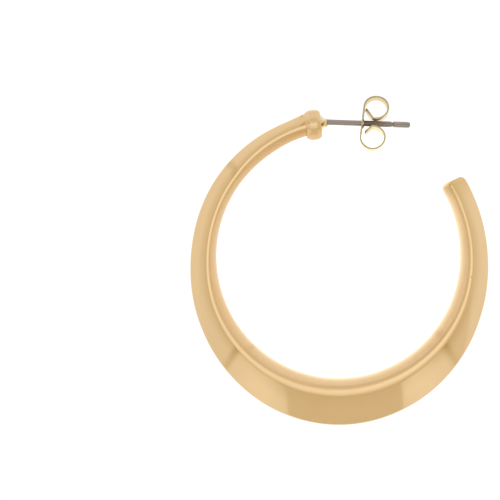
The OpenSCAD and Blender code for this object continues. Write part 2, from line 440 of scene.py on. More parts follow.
def hoop_tree():
    """Sweeps a section round the C. The rows come in as points, each with its columns."""
    graph, given = new_tree("hoop_sweep", HOOP_INPUTS)
    sample = sampler(graph, given["Geometry"])
    spans = len(SECTIONS) - 1
    rings = given["Rings per Row"] * spans
    closing = given["Closing Rings"]
    total = rings + given["Tip Rings"] + closing * 2
    grid, step, around = sweep_grid(graph, total, given["Points Around"])
    ring = step - closing

    # Which two rows a ring lies between, and its angle, held at the cap and at the tip
    body = (ring / given["Rings per Row"]).least(0).most(spans - 0.0001)
    row = body.math("FLOOR")
    low_angle = sample("angle", row)
    span = sample("angle", row + 1) - low_angle
    tip_turn = given["Tip Rounding"] / given["Opening Radius"]
    tip = (ring - rings).within(0, given["Tip Rings"]) * (math.pi / 2)
    rounded_from = math.radians(TIP_ANGLE) - tip_turn
    angle = (low_angle + span * (body - row)).least(math.radians(START_ANGLE)).most(rounded_from)
    angle = angle + tip_turn * tip.sin()
    inset = given["Tip Rounding"] * (1 - tip.cos())

    # Every column on a cubic through the rows
    t = (angle - low_angle) / span
    rise = t * t * (3 - 2 * t)
    start_bend = span * t * (1 - t) ** 2
    end_bend = span * t * t * (t - 1)

    def column(name):
        slope = name + "_slope"
        steady = sample(name, row).to(sample(name, row + 1), rise)
        return steady + sample(slope, row) * start_bend + sample(slope, row + 1) * end_bend

    inner = given["Opening Radius"] + column("lift")
    depth = given["Arm Depth"] + (given["Bottom Depth"] - given["Arm Depth"]) * column("depth")
    half_width = given["Bottom Width"] / 2 * column("width")
    crest_round = column("crest_round")
    rim_round = column("rim_round")
    crest_x = column("crest")
    crest_y = half_width - crest_round
    rim_x = depth - rim_round

    # A wide arc, the crest's arc, a bevel and the rim's arc, each tangent to the next
    bulge = (crest_x ** 2 + crest_y ** 2 - crest_round ** 2) / (2 * (crest_x - crest_round))
    wide_end = crest_y.math("ARCTAN2", crest_x - bulge)
    across_x = rim_x - crest_x
    closing_in = (crest_round - rim_round) / distance(across_x, crest_y)
    bevel = closing_in.math("ARCCOSINE") - crest_y.math("ARCTAN2", across_x)
    half = 1 - abs(around * 2 - 1)
    inner_end, crest_end, bevel_end = ARC_ENDS
    turn = (wide_end - math.pi) * half.within(0, inner_end) + math.pi
    turn = turn + (bevel - wide_end) * half.within(inner_end, crest_end)
    turn = turn - bevel * half.within(bevel_end, 1)
    on_crest = half > inner_end
    on_bevel = half.within(crest_end, bevel_end)
    arc_x = bulge.to(crest_x, on_crest).to(rim_x, on_bevel)
    arc_y = (crest_y * on_crest) * (1 - on_bevel)
    arc_r = bulge.to(crest_round, on_crest).to(rim_round, on_bevel)
    # The bevel is polished a little crowned, and the whole surface a little uneven
    arc_r = arc_r + given["Bevel Crown"] * 4 * on_bevel * (1 - on_bevel)
    uneven = graph.noise(graph.vector(angle * CREST_RADIUS, half * GIRTH, 0), 0.45, 1) - 0.5
    arc_r = arc_r + uneven * given["Waviness"]
    radius = inner + arc_x + arc_r * turn.cos()
    height = (arc_y + arc_r * turn.sin()) * (0.5 - around).math("SIGN")

    # Shrunk for the rounded tip and to close the ends, then stood in its place round the hoop
    middle = inner + depth * MIDDLE
    ahead = (ring - rings - given["Tip Rings"]).within(0, closing)
    behind = (-ring).within(0, closing)
    keep = 1 - ahead.least(behind)
    radius = middle + (radius - middle) * (1 - inset * 2 / depth) * keep
    height = height * (1 - inset / half_width) * keep
    back = column("lean").math("TANGENT") * (radius - inner - crest_x)
    place = graph.vector(
        radius * angle.cos() + back * angle.sin(),
        radius * angle.sin() - back * angle.cos(),
        height,
    )
    pattern = graph.vector(angle, around, 0)
    return finish_sweep(graph, grid, place, pattern, given["Material"])


# The clutch's strip, swept along its path

STRIP_INPUTS = {
    "Float": (
        "Thickness", "Width", "Corner", "Lowest", "Highest", "End Rounding", "Edge Rounding",
    ),
    "Int": ("Points per Corner", "Closing Rings"),
    "Material": ("Material",),
}


def strip_tree():
    """Sweeps a flat strip along the points that come in, narrowed to a rounded front outline."""
    graph, given = new_tree("strip_sweep", STRIP_INPUTS)
    path = given["Geometry"]
    sample = sampler(graph, path)
    count = graph.add(
        "GeometryNodeAttributeDomainSize", {"component": "MESH"}, {"Geometry": path}
    )["Point Count"]
    closing = given["Closing Rings"]
    corner_points = given["Points per Corner"]
    grid, step, around = sweep_grid(graph, count - 1 + closing * 2, corner_points * 4)
    station = (step - closing).math("ROUND")
    here = station.least(0).most(count - 1)
    before = (here - 1).least(0)
    after = (here + 1).most(count - 1)
    x = sample("x", here)
    y = sample("y", here)
    run_x = sample("x", after) - sample("x", before)
    run_y = sample("y", after) - sample("y", before)
    run = distance(run_x, run_y)

    # Half the width, from the front outline and from the rounding of the strip's ends
    corner = given["Corner"]
    past = (y - given["Highest"] + corner).least(given["Lowest"] + corner - y).least(0)
    half_width = given["Width"] / 2 - corner + (corner ** 2 - past ** 2).least(0).root()
    end_round = given["End Rounding"]
    near_end = (end_round - sample("from_end", here)).least(0)
    half_width = half_width - end_round + (end_round ** 2 - near_end ** 2).least(0).root()

    # The section is a rectangle with rounded edges, and it shrinks away at both ends
    point = (around * corner_points * 4).math("ROUND")
    quarter = (point / corner_points).math("FLOOR")
    turn = (quarter + (point - quarter * corner_points) / (corner_points - 1)) * (math.pi / 2)
    middle = (quarter + 0.5) * (math.pi / 2)
    edge = given["Edge Rounding"]
    off = middle.cos().math("SIGN") * (given["Thickness"] / 2 - edge) + turn.cos() * edge
    rise = middle.sin().math("SIGN") * (half_width - edge) + turn.sin() * edge
    keep = 1 - (-station).within(0, closing).least((station - count + 1).within(0, closing))
    off = off * keep
    place = graph.vector(x - run_y / run * off, y + run_x / run * off, rise * keep)
    pattern = graph.vector(sample("from_end", here), around, 0)
    return finish_sweep(graph, grid, place, pattern, given["Material"])


# Helpers for turned pieces and paths

# The longest step along a path, and how close to its axis a turned outline closes
PATH_STEP = 0.06
ON_AXIS = 0.001


def ways_along(points):
    """How far along a path each of its points lies."""
    ways = [0]
    for start, end in zip(points, points[1:]):
        ways.append(ways[-1] + (end - start).length)
    return ways


def arc(centre, radius, start, end):
    """Points on an arc between two angles in degrees."""
    steps = max(2, math.ceil(abs(math.radians(end - start)) * radius / PATH_STEP))
    turns = [math.radians(start + (end - start) * step / steps) for step in range(steps + 1)]
    return [centre + radius * Vector((math.cos(turn), math.sin(turn))) for turn in turns]


def straight(start, end):
    """Points on a straight line."""
    steps = math.ceil((end - start).length / PATH_STEP)
    return [start.lerp(end, step / steps) for step in range(steps + 1)]


def rounded(corners, steps=6):
    """An outline through corners of (along, radius, rounding), with each rounding as an arc."""
    points = []
    for count, (along, radius, rounding) in enumerate(corners):
        here = Vector((along, radius))
        if not rounding:
            points.append(here)
            continue
        back = (Vector(corners[count - 1][:2]) - here).normalized()
        ahead = (Vector(corners[count + 1][:2]) - here).normalized()
        half = back.angle(ahead) / 2
        centre = here + (back + ahead).normalized() * (rounding / math.sin(half))
        first = here + back * (rounding / math.tan(half)) - centre
        last = here + ahead * (rounding / math.tan(half)) - centre
        sweep = first.angle(last)
        for step in range(steps + 1):
            share = step / steps
            spoke = first * math.sin((1 - share) * sweep) + last * math.sin(share * sweep)
            points.append(centre + spoke / math.sin(sweep))
    return points


def refined(points, longest):
    """The same outline with no step longer than a length."""
    fine = [points[0]]
    for start, end in zip(points, points[1:]):
        steps = max(1, math.ceil((end - start).length / longest))
        fine += [start.lerp(end, step / steps) for step in range(1, steps + 1)]
    return fine


def lathe(name, outline, around, placed, uneven=None):
    """A closed solid turned about X from an outline that starts and ends on the axis.

    The UV map holds the way along the outline in millimetres and the share of a turn.
    """
    solid = bmesh.new()
    pattern = solid.loops.layers.uv.new("UVMap")
    ways = ways_along(outline)
    rings = []
    for along, radius in outline:
        turns = [2 * math.pi * side / around for side in range(around if radius > ON_AXIS else 1)]
        rings.append([
            solid.verts.new((along, radius * math.cos(turn), radius * math.sin(turn)))
            for turn in turns
        ])
    for row, (low, high) in enumerate(zip(rings, rings[1:])):
        for side in range(around):
            spots = {}
            for ring, vertical, turn in (
                (low, row, side), (low, row, side + 1), (high, row + 1, side + 1), (high, row + 1, side)
            ):
                spots.setdefault(ring[turn % len(ring)], (ways[vertical], turn / around))
            face = solid.faces.new(spots)
            for loop in face.loops:
                loop[pattern].uv = spots[loop.vert]
    if uneven:
        for vert in solid.verts:
            radial = Vector((0, vert.co.y, vert.co.z))
            if radial.length > ON_AXIS:
                vert.co += radial.normalized() * uneven(vert.co)
    bmesh.ops.recalc_face_normals(solid, faces=solid.faces)
    solid.transform(placed)
    mesh = bpy.data.meshes.new(name)
    solid.to_mesh(mesh)
    solid.free()
    return mesh


def combined(mesh, other, operation):
    """A mesh joined with another or cut by it."""
    kept = add_object("kept", mesh)
    tool = add_object("tool", other)
    modifier = kept.modifiers.new("combined", "BOOLEAN")
    modifier.operation = operation
    modifier.solver = "EXACT"
    modifier.object = tool
    made = evaluated(kept)
    for thing in (kept, tool):
        bpy.data.objects.remove(thing)
    return made


def add_piece(name, mesh, body, replaced, material=None):
    """Puts a mesh made in millimetres round the hoop in the frame, on its body."""
    mesh.transform(Matrix.Translation(HOOP_AT) @ Matrix.Scale(MM, 4))
    mesh.name = name
    mesh.shade_smooth()
    mesh.set_sharp_from_angle(angle=math.radians(SHARP_FROM))
    if material:
        mesh.materials.clear()
        mesh.materials.append(material)
    piece = add_object(name, mesh)
    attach(piece, body)
    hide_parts(replaced)


# Finishes

def new_material(name):
    material = bpy.data.materials.new(name)
    material.use_nodes = True
    material.node_tree.nodes.clear()
    return material, Graph(material.node_tree)


def finished(material, graph, values):
    """The material, with its nodes led into the main shader."""
    shader = graph.add("ShaderNodeBsdfPrincipled", None, values)
    graph.add("ShaderNodeOutputMaterial", None, {"Surface": shader["BSDF"]})
    return material


def hoop_gold(look):
    """Polished pale gold: rougher inside, darker at the tip, with polishing lines, a few pits, and
    painted shade and highlights.
    """
    material, graph = new_material("hoop_gold")
    angle, around = graph.pattern()
    half = 1 - abs(around * 2 - 1)
    along = angle * CREST_RADIUS
    across = half * (GIRTH / 2)
    rough = 1 - half.smooth(*ROUGH_END)
    tip = angle.smooth(*(math.radians(TIP_ANGLE) - before for before in TIP_DARKENS))
    lines = graph.noise(graph.vector(along * 0.5, across * 12, 0), 1, 3)
    blotches = graph.noise(graph.vector(along * 0.35, across * 1.3, 0), 1, 2)
    # Painted shade beside the crest, most of all on the slim arms
    arms = 1 - angle.smooth(*ARMS_END[0]) * (1 - angle.smooth(*ARMS_END[1]))
    band = half.smooth(*SHADE_BAND_START) * (1 - half.within(*SHADE_BAND_END)) ** 2 * (0.25 + arms * 0.75)
    # Painted shade on the rough inside beside the cap
    cap_side_shade = rough * (1 - angle.within(*CAP_SHADE_FADE))
    # A line of painted shade inside the crest
    line = half.near(*CREST_SHADE_LINE) * angle.smooth(*SHADE_LINE_START) * 0.7
    # A painted reflection of a dark seam across the bevel
    seam_reflection = angle.near(*SEAM_REFLECTION) * half.smooth(*SEAM_REFLECTION_START) * 0.9
    darker_patches = []
    for degrees, share, size in DARKER_PATCHES:
        off_x = along - math.radians(degrees) * CREST_RADIUS
        off_y = (half - share) * (GIRTH / 2)
        away = (off_x ** 2 + off_y ** 2 * 0.4).root() + (lines - 0.5) * 0.2
        darker_patches.append(((1 - away.smooth(0, size)) * 0.6, look.hoop_shade))
    pits = graph.number(0)
    for degrees, share, size in PITS:
        off_x = along - math.radians(degrees) * CREST_RADIUS
        away = distance(off_x, (around - share) * GIRTH)
        pits = pits.least(1 - away.smooth(size * 0.4, size))
    return finished(material, graph, {
        "Base Color": graph.layers(
            look.hoop_colour,
            # The inside's paler gold is a painted highlight
            (1 - half.smooth(*INSIDE_END), look.hoop_inside),
            (band.least(cap_side_shade).least(line).least(seam_reflection), look.hoop_shade),
            (blotches.smooth(0.45, 0.75) * 0.15, look.hoop_shade),
            (tip * 0.6, look.hoop_tip),
            *darker_patches,
            (pits * 0.85, look.pit_colour),
        ),
        "Metallic": 1,
        "Roughness": 0.06 + rough * 0.28 + lines * 0.05 + pits * 0.3,
        "Coat Weight": 0.15,
        "Coat Roughness": 0.08,
        "Normal": graph.bump(lines * 0.2 - pits, 0.004),
    })


def cap_gold(look):
    """Polished gold, duller towards the opening, with fine lines turned round it and blotches."""
    material, graph = new_material("cap_gold")
    along, share = graph.pattern()
    _, y, _ = graph.split(graph.place(CAP_AT))
    inwards = (-y).smooth(*CAP_DULL)
    lines = graph.noise(graph.turned(along * 16, share, 0.5), 1, 3)
    blotches = graph.noise(graph.place(), 1.3, 2)
    return finished(material, graph, {
        "Base Color": graph.mix(blotches.smooth(0.45, 0.7) * 0.4, look.cap_colour, look.hoop_inside),
        "Metallic": 1,
        "Roughness": 0.17 + lines * 0.1 + inwards * 0.2,
        "Coat Weight": 0.15 - inwards * 0.15,
        "Coat Roughness": 0.08,
        "Normal": graph.bump(lines, 0.0015),
    })


def solder_gold(look):
    """The cup and its solder: greenish gold, mottled, with a brown burnt spot beside the cap and
    painted shadow at its mouth.
    """
    material, graph = new_material("solder_gold")
    place = graph.place((CUP_X, POST_Y, 0))
    parts = graph.split(place)
    mottle = graph.noise(place, 4, 3, 0.6)
    away = distance(*(part - at for part, at in zip(parts, BURNT_AT)))
    burnt = 1 - (away + (mottle - 0.5) * 0.2).smooth(0.10, 0.32)
    # The burnt brown also darkens the cup's mouth, where the post is seated: a painted shadow
    mouth = parts[0].smooth(-0.14, -0.02)
    return finished(material, graph, {
        "Base Color": graph.layers(
            look.solder_colour,
            (mottle.smooth(0.35, 0.65) * 0.6, look.cap_colour),
            (burnt.least(mouth * 0.8), look.burnt_colour),
        ),
        "Metallic": 1,
        "Roughness": 0.16 + mottle * 0.22,
        "Normal": graph.bump(mottle, 0.03),
    })


# Dark lines drawn along the post, as shares of a turn
DARK_POST_LINES = (0.235, 0.48, 0.71, 0.93)
# Along the post from its cup: the stretch that the clutch rubs, and where the tip's stain starts
# and is full
RUBBED = (4.5, 7.75)
TIP_STAIN = (8.6, 9.5)


def post_metal(look):
    """Drawn grey metal with dark lines along it, rubbed where the clutch slides, stained at the tip,
    greener on one side.
    """
    material, graph = new_material("post_metal")
    _, share = graph.pattern()
    place = graph.place((CUP_X, POST_Y, 0))
    x, y, _ = graph.split(place)
    streaks = graph.noise(graph.turned(x * 0.7, share, 4), 1, 3)
    grain = graph.noise(place, 9, 3, 0.65)
    rubbed = x.smooth(RUBBED[0] - 0.15, RUBBED[0]) * (1 - x.smooth(RUBBED[1], RUBBED[1] + 0.1))
    lines = graph.number(0)
    for line in DARK_POST_LINES:
        lines = lines.least((share + (streaks - 0.5) * 0.05).near(line, 0.045))
    return finished(material, graph, {
        "Base Color": graph.layers(
            look.post_colour,
            # Greener on the side towards the hoop's middle: a painted reflection
            ((y * -1.6 + streaks - 0.3).smooth(0, 0.7), look.post_green),
            (x.smooth(*TIP_STAIN) * 0.8, look.post_green),
            ((lines * 0.8).least(rubbed * grain.smooth(0.40, 0.66) * 0.55), look.post_line),
        ),
        "Metallic": 1 - rubbed * 0.5,
        "Roughness": 0.26 + streaks * 0.12 + rubbed * 0.2,
        "Normal": graph.bump(streaks * 0.5 + grain * rubbed - lines * 0.4, 0.02),
    })


# Shares of the way round the strip at which its sheared edges, its outer face and its inner one lie
SHEARED_AT = (0.225, 0.725)
OUTER_AT = 0.475
INNER_AT = 0.975


def clutch_gold(look):
    """Bright pale gold on rolled strip, duller inside, on the flares and on its sheared edges."""
    material, graph = new_material("clutch_gold")
    from_end, around = graph.pattern()
    place = graph.place()
    lines = graph.noise(graph.vector(from_end * 0.4, around * 90, 0), 1, 3)
    mottle = graph.noise(place, 1.6, 2)
    first, second = (around.near(edge, 0.17) for edge in SHEARED_AT)
    sheared = first.least(second).smooth(0, 0.35).least((1 - from_end.smooth(0.02, 0.06)) * 0.5)
    inner = abs(around - OUTER_AT) > 0.26
    flare = 1 - from_end.smooth(1, 1.6)
    return finished(material, graph, {
        "Base Color": graph.layers(
            look.clutch_colour,
            (mottle.smooth(0.45, 0.7) * 0.35, look.hoop_colour),
            (sheared.least(flare * 0.5), look.clutch_edge),
        ),
        "Specular Tint": paint(look.clutch_graze),
        "Metallic": 1,
        "Roughness": 0.12 + lines * 0.08 + sheared.least(inner * 0.7) * 0.22,
        "Normal": graph.bump(lines * 0.4 + graph.noise(place, 14, 3) * sheared, 0.012),
    })


def colour_setting(name, description, default):
    return bpy.props.FloatVectorProperty(
        name=name, description=description, subtype="COLOR", size=3, min=0, max=1, default=default
    )


def length_setting(name, description, default):
    """A length whose default is in millimetres."""
    return bpy.props.FloatProperty(
        name=name, description=description, unit="LENGTH", precision=5, min=0, default=default * MM
    )


class LookSettings(bpy.types.PropertyGroup):
    """Colours of the finishes."""

    hoop_colour: colour_setting("Hoop gold", "Colour of the hoop's plating", (0.765, 0.537, 0.286))
    # Paler gold inside the hoop, a painted highlight; the cap's blotches take this colour too
    hoop_inside: colour_setting(
        "Inside gold", "Colour of the less polished inside", (0.80, 0.575, 0.33)
    )
    # Painted shade beside the crest, inside it and by the cap, and a painted reflection across the
    # bevel; also the hoop's blotches and darker patches
    hoop_shade: colour_setting(
        "Duller gold", "Colour beside the crest and of smudges", (0.65, 0.435, 0.205)
    )
    hoop_tip: colour_setting("Tip gold", "Colour of the hoop's free tip", (0.62, 0.42, 0.165))
    pit_colour: colour_setting("Pits", "Colour of small pits in the plating", (0.10, 0.06, 0.035))
    cap_colour: colour_setting("Cap gold", "Colour of the bead cap", (0.75, 0.53, 0.285))
    solder_colour: colour_setting("Solder", "Pale greenish gold of the solder", (0.85, 0.76, 0.52))
    # Brown of the burnt spot, also a painted shadow at the cup's mouth
    burnt_colour: colour_setting("Burnt solder", "Brown of the burnt spot", (0.26, 0.18, 0.06))
    post_colour: colour_setting("Post", "Grey of the ear post", (0.38, 0.30, 0.285))
    # Greenish grey of the tip's stain and of a painted reflection along one side
    post_green: colour_setting("Post stain", "Greenish grey on the post", (0.30, 0.30, 0.26))
    post_line: colour_setting("Post lines", "Dark lines on the post", (0.16, 0.115, 0.105))
    clutch_colour: colour_setting("Clutch gold", "Colour of the clutch's faces", (0.90, 0.75, 0.45))
    clutch_edge: colour_setting("Clutch edge", "Colour of the clutch's cut edges", (0.43, 0.39, 0.25))
    clutch_graze: colour_setting("Clutch glance", "Tint of the clutch seen edge on", (0.96, 0.87, 0.70))


class HoopSettings(bpy.types.PropertyGroup):
    """Driving sizes of the hoop."""

    opening_radius: length_setting("Opening radius", "Radius of the round opening", 14.48)
    arm_depth: length_setting("Arm depth", "Depth of the slim arms, from opening to rim", 2.6)
    bottom_depth: length_setting("Bottom depth", "Depth at the deepest place", 5.65)
    bottom_width: length_setting("Bottom width", "Thickness across both faces at the bottom", 4.84)
    tip_rounding: length_setting("Tip rounding", "Rounding of the free tip", 0.65)
    bevel_crown: length_setting("Bevel crown", "Height of the bevel's faint crown", 0.035)
    waviness: length_setting("Waviness", "Unevenness left by polishing", 0.008)


class CapSettings(bpy.types.PropertyGroup):
    """Driving sizes of the bead cap and the post's cup."""

    diameter: length_setting("Diameter", "Diameter of the cap", 3.57)
    width: length_setting("Width", "Thickness of the cap along its axis", 1.75)
    band: length_setting("Band", "Width of the flat band round the cap", 0.82)
    chamfer: length_setting("Chamfer", "Drop of the chamfers beside the band", 0.21)
    dome: length_setting("Dome", "Height of the cap's domed front", 0.03)
    lap: length_setting("Lap", "How far the cap's foot laps over the hoop", 0.08)
    cup_radius: length_setting("Cup radius", "Radius of the post's cup at its mouth", 0.46)
    solder_radius: length_setting("Solder radius", "Radius of the solder where it meets the cap", 1.1)


class PostSettings(bpy.types.PropertyGroup):
    """Driving sizes of the ear post."""

    diameter: length_setting("Diameter", "Diameter of the post", 0.67)
    tip_diameter: length_setting("Tip diameter", "Diameter beyond the groove", 0.7)
    groove_diameter: length_setting("Groove diameter", "Diameter at the bottom of the groove", 0.5)
    length: length_setting("Length", "Length of the post outside its cup", 9.87)
    seat: length_setting("Seat", "Depth of the post in its cup", 0.7)


class ClutchSettings(bpy.types.PropertyGroup):
    """Driving sizes of the butterfly clutch."""

    thickness: length_setting("Thickness", "Thickness of the strip", 0.2)
    width: length_setting("Width", "Width of the strip", 4.2)
    corner: length_setting("Corner", "Rounding of the clutch seen along the post", 1.15)
    upper_radius: length_setting("Upper scroll", "Half the height of the upper scroll", 1.31)
    lower_radius: length_setting("Lower scroll", "Half the height of the lower scroll", 1.33)
    along: length_setting("Along", "Distance from the cup to the upper scroll", 5.77)
    grip: length_setting("Grip", "Distance from the post's axis to the strip's middle", 0.445)
    hole_radius: length_setting("Hole radius", "Radius of the hole for the post", 0.385)


def millimetres(settings):
    """The lengths of a group of settings by name, in millimetres."""
    return {name: getattr(settings, name) / MM for name in settings.__annotations__}


class EARRING_OT_hoop(bpy.types.Operator):
    """Make the C-shaped hoop"""

    bl_idname = "earring.hoop"
    bl_label = "Hoop"

    def execute(self, context):
        size = millimetres(context.scene.earring_hoop)
        values = {name.replace("_", " ").title(): value for name, value in size.items()}
        mesh = run_tree(section_rows(), hoop_tree(), "hoop_gold", values | {
            "Rings per Row": 24,
            "Tip Rings": 12,
            "Closing Rings": 4,
            "Points Around": 128,
            "Material": hoop_gold(context.scene.earring_look),
        })
        add_piece("hoop_gold", mesh, "earring", "c_hoop")
        return {"FINISHED"}


class EARRING_OT_cap(bpy.types.Operator):
    """Make the bead cap, and the post's cup with its solder"""

    bl_idname = "earring.cap"
    bl_label = "Cap and cup"

    def execute(self, context):
        size = millimetres(context.scene.earring_cap)
        look = context.scene.earring_look
        self.add_bead(size, look)
        self.add_cup(size, look)
        return {"FINISHED"}

    def add_bead(self, size, look):
        half = size["width"] / 2
        band = size["band"] / 2
        radius = size["diameter"] / 2
        low = radius - size["chamfer"]
        foot = half + size["lap"]
        corners = (
            (-foot, 0, 0),
            (-foot, low - size["lap"] * 0.5, 0.16),
            (-band, radius, 0.10),
            (band, radius, 0.10),
            (half, low, 0.16),
            (half + size["dome"] * 0.8, low * 0.5, 0.6),
            (half + size["dome"], 0, 0),
        )

        def flattened(place):
            """Drop from the circle to the broad flats on both sides of each face's narrow top."""
            turn = math.degrees(math.atan2(place.y, abs(place.z))) + TOP_BACK
            drop = FLAT_DROPS[0] if turn > 0 else FLAT_DROPS[1]
            turn = abs(turn)
            share = 1 - (max(0, FLAT_AT - turn) / (FLAT_AT - TOP_REACH)) ** 2
            if turn > FLAT_AT:
                share = (1 + math.cos(math.pi * min(1, (turn - FLAT_AT) / (90 - FLAT_AT)))) / 2
            return -Vector(place.yz).length * drop * max(0, share)

        placed = Matrix.Translation(CAP_AT) @ Matrix.Rotation(math.radians(CAP_TILT), 4, "Z")
        outline = refined(rounded(corners), 0.12)
        mesh = lathe("cap_bead", outline, 180, placed, flattened)
        add_piece("cap_bead", mesh, "earring", "end_cap", cap_gold(look))

    def add_cup(self, size, look):
        mouth = size["cup_radius"]
        foot = size["solder_radius"]
        cone_end, foot_start, end = CUP_STEPS
        corners = (
            (-end, 0, 0),
            (-end, foot, 0.1),
            (-foot_start, foot, 0.1),
            (-cone_end, mouth + 0.13, 0.3),
            (0, mouth, 0.06),
            (0, 0, 0),
        )

        def uneven(place):
            lumps = noise.noise(place * 2.2 + Vector((3, 0, 1)))
            fine = noise.noise(place * 7)
            return (lumps * 0.09 + fine * 0.03) * min(1, max(0, -place.x * 4))

        tilted = Matrix.Rotation(math.radians(CUP_TILT), 4, "Z")
        placed = Matrix.Translation((CUP_X, POST_Y - CUP_DROP, 0)) @ tilted
        outline = refined(rounded(corners), 0.04)
        mesh = lathe("cap_cup", outline, 96, placed, uneven)
        add_piece("cap_cup", mesh, "earring", "end_cap", solder_gold(look))


# Along the post from its cup: where it starts to taper, how much, and the groove's corners
TAPER_FROM = 7.31
TAPER = 0.03
GROOVE = (7.68, 7.74, 7.84, 7.95)
# The length of the rounded tip, and its flat end as a share of the radius
TIP_LENGTH = 0.16
TIP_FLAT = 0.6


class EARRING_OT_post(bpy.types.Operator):
    """Make the straight ear post"""

    bl_idname = "earring.post"
    bl_label = "Ear post"

    def execute(self, context):
        size = millimetres(context.scene.earring_post)
        shaft = size["diameter"] / 2
        tip = size["tip_diameter"] / 2
        groove = size["groove_diameter"] / 2
        end = size["length"]
        corners = (
            (-size["seat"], 0, 0),
            (-size["seat"], shaft, 0.05),
            (TAPER_FROM, shaft, 0.3),
            (GROOVE[0], shaft - TAPER, 0.03),
            (GROOVE[1], groove, 0.03),
            (GROOVE[2], groove, 0.03),
            (GROOVE[3], tip, 0.04),
            (end - TIP_LENGTH, tip, 0.2),
            (end, tip * TIP_FLAT, 0.1),
            (end, 0, 0),
        )

        def uneven(place):
            rubbed = min(1, max(0, place.x - RUBBED[0])) * (RUBBED[1] > place.x)
            return noise.noise(place * 5) * (0.004 + 0.012 * rubbed)

        placed = Matrix.Translation((CUP_X, POST_Y, 0))
        mesh = lathe("post_metal", refined(rounded(corners), 0.06), 64, placed, uneven)
        material = post_metal(context.scene.earring_look)
        add_piece("post_metal", mesh, "earring", "ear_post", material)
        return {"FINISHED"}


# How far each scroll's bend lies before its centre, then the length and the turn of its flared end
UPPER_FLARE = (0.16, 1.26, 55)
LOWER_FLARE = (0.02, 0.93, 47)
BEND_RADIUS = 0.26
# How far the lower scroll lies back from the upper one, and how much wider than high both are
LOWER_BACK = 0.28
STRETCH = 1.09
# How far the clutch is turned round the post, and how far it sits askew on it, in degrees
CLUTCH_TURN = -2
CLUTCH_ASKEW = -3
# The pressed dimple round the hole: foot and top radius, and height
DIMPLE = (0.66, 0.48, 0.24)
# How much wider than the hole the cut for it is at the plate's face, and at its own wide end
HOLE_MOUTH = (0.28, 0.6)
# Where the dimple and the hole's wall lie in the strip's pattern: from its end, and round it
DIMPLE_PATTERN = (3, INNER_AT)
HOLE_PATTERN = (3, SHEARED_AT[0])


